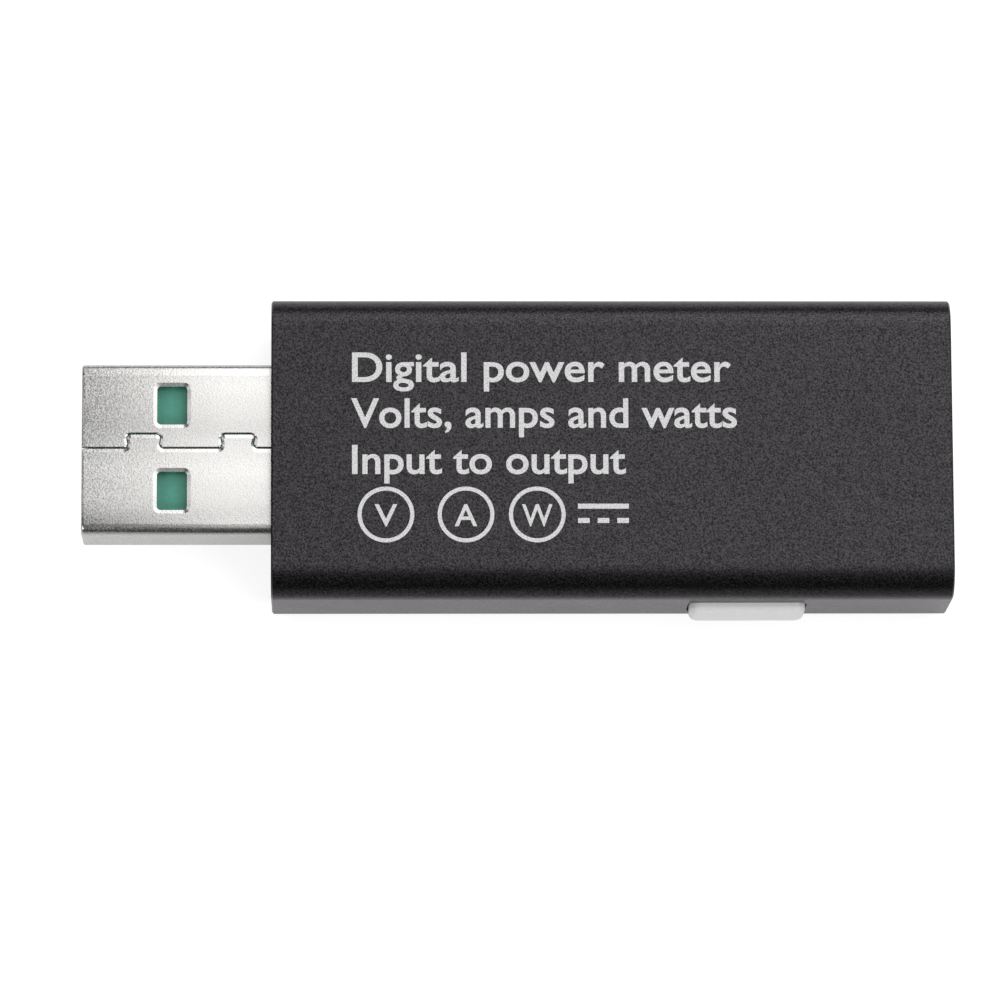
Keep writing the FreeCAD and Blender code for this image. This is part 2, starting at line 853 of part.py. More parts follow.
def seam_cutter():
    """A thin wall along the seam's line, flared at the sheet's upper face to bevel both lips.

    The flare leans to one side, so that one lip is broad and shallow and the other short and steep.
    """
    line = rounded_path(seam_corners(), sheet.dovetail_round)
    top = sheet.board_bottom + sheet.board_thickness + sheet.plug_height

    def outline(half_width, level, lean=0):
        ring = line.makeOffset2D(half_width)
        ring.translate(Z * level - Y * lean)
        return ring

    half_kerf = sheet.seam_kerf / 2
    kerf = Part.Face(outline(half_kerf, top - 2 * sheet.shell_sheet)).extrude(Z * 3 * sheet.shell_sheet)
    flare = [
        outline(half_kerf, top - sheet.lip_depth),
        outline(half_kerf + sheet.lip_width, top, sheet.lip_lean),
    ]
    cutter = doc.addObject("Part::Feature", "seam_cutter")
    cutter.Shape = kerf.fuse(Part.makeLoft(flare, True, True))
    return cutter


def plug_insulator():
    """The moulding in the plug: a shelf under the sheet's roof, sunk below the windows, and a block."""
    body = new_body("plug_insulator")
    front = f"({PLUG_TIP} + plug_insulator_recess)"
    back = f"({PLUG_BACK} - plug_insulator_recess)"
    roof = f"({PLUG_ROOF} - plug_insulator_gap)"
    shelf = f"({roof} - plug_insulator_thickness)"
    floor = f"({PLUG_FLOOR} + plug_insulator_gap)"
    block = f"({back} - plug_block_length)"
    outline = [(front, shelf), (block, shelf), (block, floor), (back, floor), (back, roof), (front, roof)]
    width = "plug_width - 2 * shell_sheet - 2 * contact_gap"
    pad(body, draw(body, "XZ_Plane", [outline]), width, midplane=True)
    fillet(body, "plug_bore_corner", X)
    nose = sheet.housing_length / 2 + sheet.plug_reach - sheet.plug_insulator_recess
    chamfer(body, "plug_lead_in", Y, lambda middle: abs(middle.x + nose) < NEAR)
    recesses = draw(body, "XY_Plane", plug_windows("latch_recess_gap"), f"{roof} - latch_recess_depth")
    pocket(body, recesses, "latch_recess_depth", with_normal=True)
    for row in ("power", "data"):
        place, tip_distance = f"{row}_contact_y", f"{row}_contact_from_tip"
        grooves = [
            centred(
                f"{side} * {place}",
                f"{shelf} - contact_proud + contact_thickness / 2",
                "contact_width + 2 * contact_gap",
                "contact_thickness + 2 * contact_gap",
            )
            for side in (-1, 1)
        ]
        start = f"{PLUG_TIP} + {tip_distance} - contact_gap"
        pocket(body, draw(body, "YZ_Plane", grooves, start), "plug_reach + plug_inside", with_normal=True)
    finish("plug_insulator", body)


def plug_contact(label, side, place, tip_distance):
    """A strip along the shelf, through the block, and down to a foot on the board."""
    body = new_body(label)
    low = f"({PLUG_ROOF} - plug_insulator_gap - plug_insulator_thickness - contact_proud)"
    high = f"({low} + contact_thickness)"
    front = f"({PLUG_TIP} + {tip_distance})"
    tail = f"({PLUG_BACK} + contact_tail_x)"
    foot = f"({tail} + contact_foot)"
    outline = [
        (front, low),
        (tail, low),
        (tail, BOARD_TOP),
        (foot, BOARD_TOP),
        (foot, f"{BOARD_TOP} + contact_thickness"),
        (f"{tail} + contact_thickness", f"{BOARD_TOP} + contact_thickness"),
        (f"{tail} + contact_thickness", high),
        (front, high),
    ]
    sketch = draw(body, "XZ_Plane", [outline], f"{-side} * {place} - contact_width / 2")
    pad(body, sketch, "contact_width")
    finish(label, body)


# ---------------------------------------------------------------- socket


def socket_shell():
    """Rolled sheet round the socket: four spring fingers cut from it, and four ears on the board."""
    body = new_body("socket_shell")
    outside = centred("0", SOCKET_AXIS_Z, "socket_width", "socket_height")
    pad(body, draw(body, "YZ_Plane", [outside], SOCKET_BACK), "socket_length")
    fillet(body, "socket_corner", X)
    inside = centred(
        "0",
        SOCKET_AXIS_Z,
        "socket_width - 2 * shell_sheet",
        "socket_height - 2 * shell_sheet",
    )
    pocket(body, draw(body, "YZ_Plane", [inside], SOCKET_BACK), "socket_length", with_normal=True)
    bore_y = sheet.socket_width / 2 - sheet.shell_sheet
    fillet(body, "socket_bore_corner", X, lambda middle: abs(abs(middle.y) - bore_y) < NEAR)
    root = f"({SOCKET_BACK} + finger_root)"
    cuts = [
        rectangle(
            root,
            f"{side} * finger_pitch / 2 - finger_width / 2 - finger_gap",
            f"{root} + finger_length",
            f"{side} * finger_pitch / 2 + finger_width / 2 + finger_gap",
        )
        for side in (-1, 1)
    ]
    pocket(body, draw(body, "XY_Plane", cuts, SOCKET_AXIS_Z), "socket_height", midplane=True)
    for side in (-1, 1):
        fingers = [finger_outline(root, up) for up in (-1, 1)]
        level = f"{-side} * finger_pitch / 2 - finger_width / 2"
        pad(body, draw(body, "XZ_Plane", fingers, level), "finger_width")
    ears = [
        rectangle(
            f"{SOCKET_BACK} + {place}",
            f"{side} * socket_width / 2 - {side} * shell_sheet / 2",
            f"{SOCKET_BACK} + {place} + ear_length",
            f"{side} * socket_width / 2 + {side} * ear_reach",
        )
        for side in (-1, 1)
        for place in ("ear_first", "ear_second")
    ]
    pad(body, draw(body, "XY_Plane", ears, BOARD_TOP), "shell_sheet")
    finish("socket_shell", body)


def finger_outline(root, up):
    """One spring finger seen from the side, on the upper (1) or lower (-1) side of the socket."""

    def at(distance, depth):
        level = f"{SOCKET_AXIS_Z} + {up} * (socket_height / 2 - ({depth}))"
        return (f"{root} + {distance}", level)

    knee = "finger_length - finger_tip - finger_gap"
    tip = "finger_length - finger_gap"
    return [
        at("0 - finger_gap", "0"),
        at("0", "0"),
        at(knee, "finger_dip"),
        at(tip, "finger_dip / 2"),
        at(tip, "finger_dip / 2 + shell_sheet"),
        at(knee, "finger_dip + shell_sheet"),
        at("0", "shell_sheet"),
        at("0 - finger_gap", "shell_sheet"),
    ]


def socket_insulator():
    """The moulding in the socket: a tongue with four grooves, standing out of a block at the back."""
    body = new_body("socket_insulator")
    back = f"({SOCKET_BACK} + socket_block_inset)"
    face = f"({back} + socket_block_length)"
    tongue_tip = f"({SOCKET_FRONT} - tongue_recess)"
    half_block = "(socket_height / 2 - shell_sheet - contact_gap)"
    block = centred(
        "0", SOCKET_AXIS_Z, "socket_width - 2 * shell_sheet - 2 * contact_gap", f"2 * {half_block}"
    )
    pad(body, draw(body, "YZ_Plane", [block], back), "socket_block_length")
    fillet(body, "socket_bore_corner", X)
    tongue = rectangle("-tongue_width / 2", "tongue_bottom", "tongue_width / 2", TONGUE_TOP)
    pad(body, draw(body, "YZ_Plane", [tongue], face), f"{tongue_tip} - {face}")
    nose = sheet.housing_length / 2 - sheet.socket_inset - sheet.tongue_recess
    chamfer(body, "plug_lead_in", Y, lambda middle: abs(middle.x - nose) < NEAR)
    grooves = [
        rectangle(
            f"{side} * {place} - contact_width / 2 - contact_gap",
            f"{TONGUE_TOP} - tongue_groove_depth",
            f"{side} * {place} + contact_width / 2 + contact_gap",
            f"{TONGUE_TOP} + contact_gap",
        )
        for side in (-1, 1)
        for place in ("power_contact_y", "data_contact_y")
    ]
    length = f"{tongue_tip} - {back} - spring_tip_recess + 2 * contact_gap"
    pocket(body, draw(body, "YZ_Plane", grooves, back), length, with_normal=True)
    finish("socket_insulator", body)


def socket_contact(label, side, place):
    """A leaf spring: a foot on the board, a riser, a run through the block, and an arch over the tongue."""
    body = new_body(label)
    riser = f"({SOCKET_BACK} - spring_thickness - board_gap)"
    foot = f"({riser} - spring_foot)"
    low = f"({TONGUE_TOP} - tongue_groove_depth + contact_gap)"
    root = f"({SOCKET_BACK} + socket_block_inset + socket_block_length + contact_gap)"
    tip = f"({SOCKET_FRONT} - tongue_recess - spring_tip_recess)"
    crest = f"({TONGUE_TOP} + spring_lift)"
    crest_start = f"({root} + ({tip} - {root}) * spring_crest_start)"
    crest_end = f"({root} + ({tip} - {root}) * spring_crest_end)"
    path = [
        (foot, BOARD_TOP),
        (f"{riser} + spring_thickness", BOARD_TOP),
        (f"{riser} + spring_thickness", low),
        (root, low),
        (crest_start, f"{crest} - spring_thickness"),
        (crest_end, f"{crest} - spring_thickness"),
        (tip, low),
        (tip, f"{low} + spring_thickness"),
        (crest_end, crest),
        (crest_start, crest),
        (root, f"{low} + spring_thickness"),
        (riser, f"{low} + spring_thickness"),
        (riser, f"{BOARD_TOP} + spring_thickness"),
        (foot, f"{BOARD_TOP} + spring_thickness"),
    ]
    sketch = draw(body, "XZ_Plane", [path], f"{-side} * {place} - contact_width / 2")
    pad(body, sketch, "contact_width")
    finish(label, body)


# ---------------------------------------------------------------- button and switch


def button_cap():
    """The push button: a rounded bar through the slot, held in by a wider flange inside the wall."""
    body = new_body("button_cap")
    front = "housing_width / 2 + button_proud"
    flange_front = f"({BORE_HALF_WIDTH} - flange_gap)"
    bar = centred("button_x", "button_z", "button_length", "button_height")
    pad(body, draw(body, "XZ_Plane", [bar], flange_front), f"{front} - {flange_front}")
    fillet(body, "button_corner", Y)
    outer_y = -sheet.housing_width / 2 - sheet.button_proud
    rim = edges_where(body.Shape, lambda edge: edge.BoundBox.YMax < outer_y + NEAR)
    dress_edges(body, "Fillet", "Radius", "button_edge", rim)
    flange = centred("button_x", "button_z", "flange_length", "flange_height")
    pad(body, draw(body, "XZ_Plane", [flange], flange_front), "flange_thickness", backwards=True)
    inner_y = -(sheet.housing_width / 2 - sheet.wall - sheet.flange_gap)
    fillet(body, "button_corner", Y, lambda middle: middle.y > inner_y)
    finish("button_cap", body)


def tactile_switch():
    """Base with a well, sheet cover, sprung leaf, plunger and four terminals, facing the button."""
    base = new_body("switch_base")
    low = BOARD_TOP
    high = f"({BOARD_TOP} + switch_height)"
    face = f"({SWITCH_FACE_Y} + switch_sheet)"
    back = f"({face} + switch_depth)"
    block = centred("button_x", f"{low} + switch_height / 2", "switch_length", "switch_height")
    pad(base, draw(base, "XZ_Plane", [block], f"-{back}"), "switch_depth")
    well = centred("button_x", "button_z", "switch_well_length", "switch_well_height")
    pocket(base, draw(base, "XZ_Plane", [well], f"-{face}"), "switch_well_depth")
    finish("switch_base", base)

    cover = new_body("switch_cover")
    side_view = [
        (SWITCH_FACE_Y, f"{low} + stem_gap"),
        (face, f"{low} + stem_gap"),
        (face, high),
        (f"{back} - stem_gap", high),
        (f"{back} - stem_gap", f"{high} + switch_sheet"),
        (SWITCH_FACE_Y, f"{high} + switch_sheet"),
    ]
    pad(cover, draw(cover, "YZ_Plane", [side_view], "button_x - switch_length / 2"), "switch_length")
    hole = centred("button_x", "button_z", "stem_length + 2 * stem_gap", "stem_height + 2 * stem_gap")
    pocket(cover, draw(cover, "XZ_Plane", [hole], f"-{SWITCH_FACE_Y}"), "switch_sheet + stem_gap")
    finish("switch_cover", cover)

    floor_y = f"({face} + switch_well_depth)"
    leaf_crest = f"({floor_y} - leaf_rise - leaf_thickness)"
    plunger = new_body("switch_plunger")
    stem_tip = f"({FLANGE_BACK_Y} + plunger_gap)"
    stem_end = f"({leaf_crest} - plunger_gap)"
    stem = centred("button_x", "button_z", "stem_length", "stem_height")
    pad(plunger, draw(plunger, "XZ_Plane", [stem], f"-{stem_end}"), f"{stem_end} - {stem_tip}")
    collar = centred("button_x", "button_z", "plunger_flange_length", "stem_height")
    collar_front = f"({face} + plunger_gap)"
    collar_level = f"-{collar_front} - plunger_flange_thickness"
    pad(plunger, draw(plunger, "XZ_Plane", [collar], collar_level), "plunger_flange_thickness")
    finish("switch_plunger", plunger)

    leaf = new_body("switch_leaf")
    foot_y = f"({floor_y} - leaf_thickness)"
    crest_y = leaf_crest
    arch = [
        ("button_x - leaf_length / 2", foot_y),
        ("button_x - leaf_flat / 2", crest_y),
        ("button_x + leaf_flat / 2", crest_y),
        ("button_x + leaf_length / 2", foot_y),
        ("button_x + leaf_length / 2", floor_y),
        ("button_x + leaf_flat / 2", f"{crest_y} + leaf_thickness"),
        ("button_x - leaf_flat / 2", f"{crest_y} + leaf_thickness"),
        ("button_x - leaf_length / 2", floor_y),
    ]
    pad(leaf, draw(leaf, "XY_Plane", [arch], "button_z - leaf_width / 2"), "leaf_width")
    finish("switch_leaf", leaf)

    terminals = []
    for across in (-1, 1):
        for along in (-1, 1):
            middle_x = f"button_x + {across} * (switch_length + terminal_length) / 2"
            middle_y = f"{face} + switch_depth / 2 + {along} * terminal_pitch / 2"
            corner = (f"{middle_x} - terminal_length / 2", f"{middle_y} - terminal_width / 2", low)
            opposite = (
                f"{middle_x} + terminal_length / 2",
                f"{middle_y} + terminal_width / 2",
                f"{low} + terminal_thickness",
            )
            terminals.append(box(f"switch_terminal_{len(terminals) + 1}", corner, opposite))
    finish("switch_terminals", group("switch_terminals", terminals))


# ---------------------------------------------------------------- parts on the board


def moulded_chip(label):
    """A moulded package standing just off the board, its upper edges chamfered."""
    body = new_body(label)
    outline = centred(f"{label}_x", f"{label}_y", f"{label}_length", f"{label}_width")
    pad(body, draw(body, "XY_Plane", [outline], f"{BOARD_TOP} + chip_standoff"), f"{label}_height")
    top = body.Shape.BoundBox.ZMax
    for direction in (X, Y):
        chamfer(body, "chip_chamfer", direction, lambda middle: middle.z > top - sheet.chip_chamfer / 2)
    finish(label, body)


def gull_leads(chip, count):
    """Two rows of bent leads, one row along each long side of a moulded package."""
    label = f"{chip}_leads"
    body = new_body(label)
    middle_z = f"({BOARD_TOP} + chip_standoff + {chip}_height / 2)"
    sides = []
    for side in (-1, 1):
        flank = f"{chip}_y + {side} * {chip}_width / 2"
        knee = f"{flank} + {side} * (lead_reach - lead_foot)"
        toe = f"{flank} + {side} * lead_reach"
        sides.append(
            [
                (flank, middle_z),
                (flank, f"{middle_z} + lead_thickness"),
                (knee, f"{middle_z} + lead_thickness"),
                (knee, f"{BOARD_TOP} + lead_thickness"),
                (toe, f"{BOARD_TOP} + lead_thickness"),
                (toe, BOARD_TOP),
                (f"{knee} - {side} * lead_thickness", BOARD_TOP),
                (f"{knee} - {side} * lead_thickness", middle_z),
            ]
        )
    span = f"({count} - 1) * {chip}_pitch"
    row = pad(body, draw(body, "YZ_Plane", sides, f"{chip}_x - {span} / 2 - lead_width / 2"), "lead_width")
    pattern = body.newObject("PartDesign::LinearPattern", f"{label}_pattern")
    pattern.Originals = [row]
    pattern.Direction = (origin_part(body, "X_Axis"), [""])
    pattern.Occurrences = count
    bind(pattern, "Length", span)
    body.Tip = pattern
    doc.recompute()
    finish(label, body)


def end_capped_chips(label, kind, count):
    """Small two-ended parts: a body between two metal ends, three solids each, in one group."""
    solids = []
    for number in range(1, count + 1):
        middle_x, middle_y = f"{kind}_x_{number}", f"{kind}_y_{number}"
        left = f"{middle_x} - {kind}_length / 2"
        right = f"{middle_x} + {kind}_length / 2"
        cuts = (left, f"{left} + chip_end_metal", f"{right} - chip_end_metal", right)
        for start, end in zip(cuts, cuts[1:]):
            low = (start, f"{middle_y} - {kind}_width / 2", BOARD_TOP)
            high = (end, f"{middle_y} + {kind}_width / 2", f"{BOARD_TOP} + {kind}_height")
            solids.append(box(f"{label}_{len(solids) + 1}", low, high))
    finish(label, group(label, solids))


def diode_tabs():
    """A flat tab on the board at each end of the supply diode."""
    tabs = []
    for name, side in (("left", -1), ("right", 1)):
        flank = f"supply_diode_x + {side} * supply_diode_length / 2"
        reach = f"{flank} + {side} * diode_tab_reach"
        start, end = (reach, flank) if side < 0 else (flank, reach)
        low = (start, "supply_diode_y - diode_tab_width / 2", BOARD_TOP)
        high = (end, "supply_diode_y + diode_tab_width / 2", f"{BOARD_TOP} + lead_thickness")
        tabs.append(box(f"diode_tab_{name}", low, high))
    finish("supply_diode_tabs", group("supply_diode_tabs", tabs))


def supply_inductor():
    body = new_body("supply_inductor")
    outline = centred("inductor_x", "inductor_y", "inductor_width", "inductor_width")
    pad(body, draw(body, "XY_Plane", [outline], BOARD_TOP), "inductor_height")
    fillet(body, "recess_corner", Z)
    finish("supply_inductor", body)


def shunt_resistor():
    """A bent strip that stands on two feet, with its middle lifted off the board."""
    body = new_body("shunt_resistor")
    upper = []
    lower = []
    for side in (-1, 1):
        toe = f"shunt_x + {side} * shunt_length / 2"
        bend = f"{toe} - {side} * shunt_foot"
        rise = f"{bend} - {side} * shunt_rise"
        inward = f"{side} * shunt_bend_shift"
        lower.append([(toe, BOARD_TOP), (bend, BOARD_TOP), (rise, f"{BOARD_TOP} + shunt_rise")])
        upper.append(
            [
                (toe, f"{BOARD_TOP} + shunt_thickness"),
                (f"{bend} + {inward}", f"{BOARD_TOP} + shunt_thickness"),
                (f"{rise} + {inward}", f"{BOARD_TOP} + shunt_rise + shunt_thickness"),
            ]
        )
    outline = lower[0] + lower[1][::-1] + upper[1] + upper[0][::-1]
    pad(body, draw(body, "XZ_Plane", [outline], "-shunt_y"), "shunt_width", midplane=True)
    finish("shunt_resistor", body)


def board_parts():
    """The metering and supply parts on the board's upper face."""
    for chip, leads_a_side in (("meter_chip", 10), ("memory_chip", 4), ("regulator_chip", 3)):
        moulded_chip(chip)
        gull_leads(chip, leads_a_side)
    moulded_chip("supply_diode")
    diode_tabs()
    supply_inductor()
    shunt_resistor()
    end_capped_chips("ceramic_capacitors", "capacitor", len(CAPACITOR_PLACES))
    end_capped_chips("chip_resistors", "resistor", len(RESISTOR_PLACES))


def insulation_sheet():
    """A thin sheet between the parts on the board and the label wall."""
    low = "housing_height - wall - sheet_gap - sheet_thickness"
    plate("insulation_sheet", "sheet_x", "0", "sheet_length", "sheet_width", low, "sheet_thickness")


# ---------------------------------------------------------------- the meter

housing_tube()
cap_x = "(housing_length / 2 - cap_recess)"
end_cap("plug_end_cap", f"-{cap_x}", PLUG_AXIS_Z, "plug_width", "plug_height", "plug_corner")
end_cap(
    "socket_end_cap",
    f"{cap_x} - cap_thickness",
    SOCKET_AXIS_Z,
    "socket_width",
    "socket_height",
    "socket_corner",
)
display()
backlight()
display_flex()
circuit_board()
plug_shell()
plug_insulator()
plug_contact("plug_contact_supply", 1, "power_contact_y", "power_contact_from_tip")
plug_contact("plug_contact_data_minus", 1, "data_contact_y", "data_contact_from_tip")
plug_contact("plug_contact_data_plus", -1, "data_contact_y", "data_contact_from_tip")
plug_contact("plug_contact_ground", -1, "power_contact_y", "power_contact_from_tip")
socket_shell()
socket_insulator()
socket_contact("socket_contact_supply", 1, "power_contact_y")
socket_contact("socket_contact_data_minus", 1, "data_contact_y")
socket_contact("socket_contact_data_plus", -1, "data_contact_y")
socket_contact("socket_contact_ground", -1, "power_contact_y")
button_cap()
tactile_switch()
board_parts()
insulation_sheet()

doc.recompute()
for item in doc.Objects:
    if "Invalid" in item.State or "Error" in item.State:
        raise RuntimeError(f"{item.Name} failed: {item.State}")
for piece in finished:
    if piece.Shape.isNull() or not piece.Shape.isValid():
        raise RuntimeError(f"{piece.Label} has no valid shape")

os.makedirs("parts", exist_ok=True)
for piece in finished:
    piece.Shape.exportStep(f"parts/{piece.Label}.step")
    print(f"{piece.Label}: {len(piece.Shape.Solids)} solids, {piece.Shape.Volume:.3f} mm3")
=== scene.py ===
import json
import math

import bmesh
import bpy
from mathutils import Matrix, Vector


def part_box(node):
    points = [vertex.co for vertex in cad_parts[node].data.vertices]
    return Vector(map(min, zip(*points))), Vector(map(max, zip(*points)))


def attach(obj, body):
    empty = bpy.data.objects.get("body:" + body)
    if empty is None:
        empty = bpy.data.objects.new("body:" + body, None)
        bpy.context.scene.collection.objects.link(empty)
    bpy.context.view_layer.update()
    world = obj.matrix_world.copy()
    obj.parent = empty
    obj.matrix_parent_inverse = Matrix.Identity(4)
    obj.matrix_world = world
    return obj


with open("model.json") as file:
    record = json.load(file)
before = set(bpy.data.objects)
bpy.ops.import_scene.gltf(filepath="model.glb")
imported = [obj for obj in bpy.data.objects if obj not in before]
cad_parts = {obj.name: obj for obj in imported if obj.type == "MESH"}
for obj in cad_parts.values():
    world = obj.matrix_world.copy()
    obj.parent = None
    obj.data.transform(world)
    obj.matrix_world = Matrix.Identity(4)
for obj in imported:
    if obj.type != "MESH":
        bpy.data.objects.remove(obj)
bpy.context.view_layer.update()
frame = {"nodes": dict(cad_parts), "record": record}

# Lengths are in metres, except for the names that end in _mm or _MM and for the label's own plane.
MM = 0.001

# ---------------------------------------------------------------------------------------------
# Shader nodes: most helpers add one step to a material and return the socket that carries it.
# ---------------------------------------------------------------------------------------------


def new_material(name, **sockets):
    """A Principled material with plain values set on the shader's own sockets."""
    material = bpy.data.materials.new(name)
    material.use_nodes = True
    shader = material.node_tree.nodes["Principled BSDF"]
    for label, value in sockets.items():
        shader.inputs[label.replace("_", " ").title().replace("Ior", "IOR")].default_value = value
    return material


def add(material, kind, inputs=(), **settings):
    """A new node in the material, with its inputs linked or set."""
    node = material.node_tree.nodes.new(kind)
    for key, value in settings.items():
        setattr(node, key, value)
    for key, value in dict(inputs).items():
        if isinstance(value, bpy.types.NodeSocket):
            material.node_tree.links.new(value, node.inputs[key])
        else:
            node.inputs[key].default_value = value
    return node


def drive(material, label, socket):
    """Links a socket to one of the Principled shader's inputs."""
    shader = material.node_tree.nodes["Principled BSDF"]
    material.node_tree.links.new(socket, shader.inputs[label])


def place(material):
    """The surface's place at rest in the row frame, in metres."""
    return add(material, "ShaderNodeTexCoord").outputs["Object"]


def noise(material, size_mm, detail=2.0, stretch=(1, 1, 1), roughness=0.5):
    """Noise from 0 to 1 whose features are about size_mm across, longer along a stretched axis."""
    scale = [1 / (size_mm * MM * s) for s in stretch]
    mapped = add(material, "ShaderNodeMapping", {"Vector": place(material), "Scale": scale})
    node = add(
        material,
        "ShaderNodeTexNoise",
        {"Vector": mapped.outputs[0], "Scale": 1.0, "Detail": detail, "Roughness": roughness},
    )
    return node.outputs["Fac"]


def spread(material, value, low, high, to_low=0.0, to_high=1.0, smooth=False):
    """Maps low..high to to_low..to_high and clamps."""
    node = add(
        material,
        "ShaderNodeMapRange",
        {"Value": value, "From Min": low, "From Max": high, "To Min": to_low, "To Max": to_high},
        interpolation_type="SMOOTHSTEP" if smooth else "LINEAR",
    )
    return node.outputs["Result"]


def maths(material, operation, first, second=0.0):
    """One sum with two values, each a socket or a number."""
    return add(material, "ShaderNodeMath", {0: first, 1: second}, operation=operation).outputs[0]


def mix(material, factor, first, second):
    """A colour between two colours, each a socket or three linear numbers."""
    node = add(material, "ShaderNodeMix", data_type="RGBA")
    for key, value in (("Factor", factor), ("A", first), ("B", second)):
        kind = "VALUE" if key == "Factor" else "RGBA"
        socket = next(s for s in node.inputs if s.name == key and s.type == kind)
        if isinstance(value, bpy.types.NodeSocket):
            material.node_tree.links.new(value, socket)
        else:
            socket.default_value = value if key == "Factor" else (*value, 1.0)
    return next(s for s in node.outputs if s.type == "RGBA")


def bump(material, *layers):
    """Links stacked bumps to the shader's normal. A layer is a height socket and its depth in mm."""
    normal = None
    for height, depth_mm in layers:
        inputs = {"Height": height, "Distance": depth_mm * MM, "Strength": 1.0}
        if normal is not None:
            inputs["Normal"] = normal
        normal = add(material, "ShaderNodeBump", inputs).outputs["Normal"]
    drive(material, "Normal", normal)


# ---------------------------------------------------------------------------------------------
# Materials
# ---------------------------------------------------------------------------------------------

BLACK = (0.0, 0.0, 0.0)
MOST = (0.3, 0.7)  # most of a noise's values lie between these
CLOUD_MM = 3.0
WEAVE_STRETCH = 12
BORDER_MM = 2.2
BORDER_BLUR_MM = 0.03

# The plug's rolled sheet: how far each curve reaches from its tip or from a long edge
SINK_LENGTH = 10 * MM
REAR_ROLL, REAR_ROLL_END = 0.85 * MM, 0.3 * MM
FRONT_ROLL, FRONT_ROLL_END = 0.8 * MM, 0.05 * MM
FRONT_DROOP = 2.4 * MM
# The depth of each curve
CROWN_MM, SINK_MM, REAR_MM, FRONT_MM, DROOP_MM = 0.2, 0.33, 0.09, 0.07, 0.2
# The front sinks by FRONT_SHARE of the rear's depth. The change lies between these shares of the half width.
SINK_FRONT, SINK_REAR, FRONT_SHARE = -0.3, 0.5, 0.7
# The share of the droop that is left beyond SINK_LENGTH from the tip
DROOP_AT_HOUSING = 0.2


def textured(name, dark, pale, rough, grain_mm, depth_mm, **sockets):
    """A finish with a grain between two colours, a slow change of gloss, and a fine bump."""
    material = new_material(name, **sockets)
    grain = noise(material, grain_mm)
    cloud = noise(material, CLOUD_MM)
    drive(material, "Base Color", mix(material, spread(material, grain, *MOST), dark, pale))
    drive(material, "Roughness", spread(material, cloud, *MOST, *rough))
    bump(material, (grain, depth_mm))
    return material


def black_anodised():
    """Bead-blasted aluminium, anodised black: a dyed glassy layer over a field of fine pits."""
    material = new_material("black_anodised", ior=1.62, specular_tint=(1.0, 0.945, 1.0, 1.0))
    grain = noise(material, 0.12, roughness=0.7)
    cloud = noise(material, 5.0)
    dye = mix(material, spread(material, grain, 0.4, 0.7), BLACK, (0.013, 0.012, 0.0135))
    drive(material, "Base Color", dye)
    drive(material, "Metallic", spread(material, grain, 0.36, 0.64, 0.74, 0.04))
    drive(material, "Roughness", spread(material, cloud, *MOST, 0.26, 0.285))
    bump(material, (grain, 0.02))
    return material


def rolled_sheet(material, node):
    """Five heights of a rolled plug, each from 0 down to -1: the crown of its two halves, its sinking
    towards the tip, its rear and front bent edges, and the droop beside the front edge."""
    low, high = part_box(node)
    parts = add(material, "ShaderNodeSeparateXYZ", {0: place(material)})
    half = (high.y - low.y) / 2
    across = maths(material, "SUBTRACT", parts.outputs[1], (low.y + high.y) / 2)
    waves = maths(material, "COSINE", maths(material, "MULTIPLY", across, 2 * math.pi / half))
    crown = spread(material, waves, -1.0, 1.0, 0.0, -1.0)
    to_tip = spread(material, parts.outputs[0], low.x, low.x + SINK_LENGTH, 1.0, 0.0)
    share = spread(
        material, across, SINK_FRONT * half, SINK_REAR * half, -FRONT_SHARE, -1.0, smooth=True
    )
    sink = maths(material, "MULTIPLY", maths(material, "POWER", to_tip, 2.0), share)
    rear = spread(material, across, half - REAR_ROLL, half - REAR_ROLL_END, 0.0, -1.0, smooth=True)
    front = spread(material, across, FRONT_ROLL_END - half, FRONT_ROLL - half, -1.0, 0.0, smooth=True)
    to_front = spread(material, across, -half, FRONT_DROOP - half, 1.0, 0.0)
    near_tip = spread(material, to_tip, 0.0, 1.0, -DROOP_AT_HOUSING, -1.0)
    droop = maths(material, "MULTIPLY", maths(material, "POWER", to_front, 3.0), near_tip)
    return crown, sink, rear, front, droop


def nickel_steel():
    """Satin nickel plate on rolled sheet: light scratches, and a speckle that is strongest at the tip."""
    material = new_material("nickel_steel", metallic=1.0, specular_tint=(0.96, 0.96, 0.95, 1.0))
    speckle = noise(material, 0.13, roughness=0.6)
    scratches = noise(material, 0.05, detail=0.0, stretch=(40, 1, 1))
    crown, sink, rear, front, droop = rolled_sheet(material, "plug_shell")
    pits = spread(material, speckle, 0.36, 0.62)
    pitted = mix(material, pits, (0.32, 0.316, 0.308), (0.80, 0.795, 0.78))
    worn = spread(material, sink, -0.8, 0.0, 0.66, 0.12)
    drive(material, "Base Color", mix(material, worn, (0.62, 0.613, 0.60), pitted))
    drive(material, "Roughness", spread(material, speckle, *MOST, 0.23, 0.30))
    curves = ((crown, CROWN_MM), (sink, SINK_MM), (rear, REAR_MM), (front, FRONT_MM), (droop, DROOP_MM))
    bump(material, *curves, (speckle, 0.007), (scratches, 0.0006))
    return material


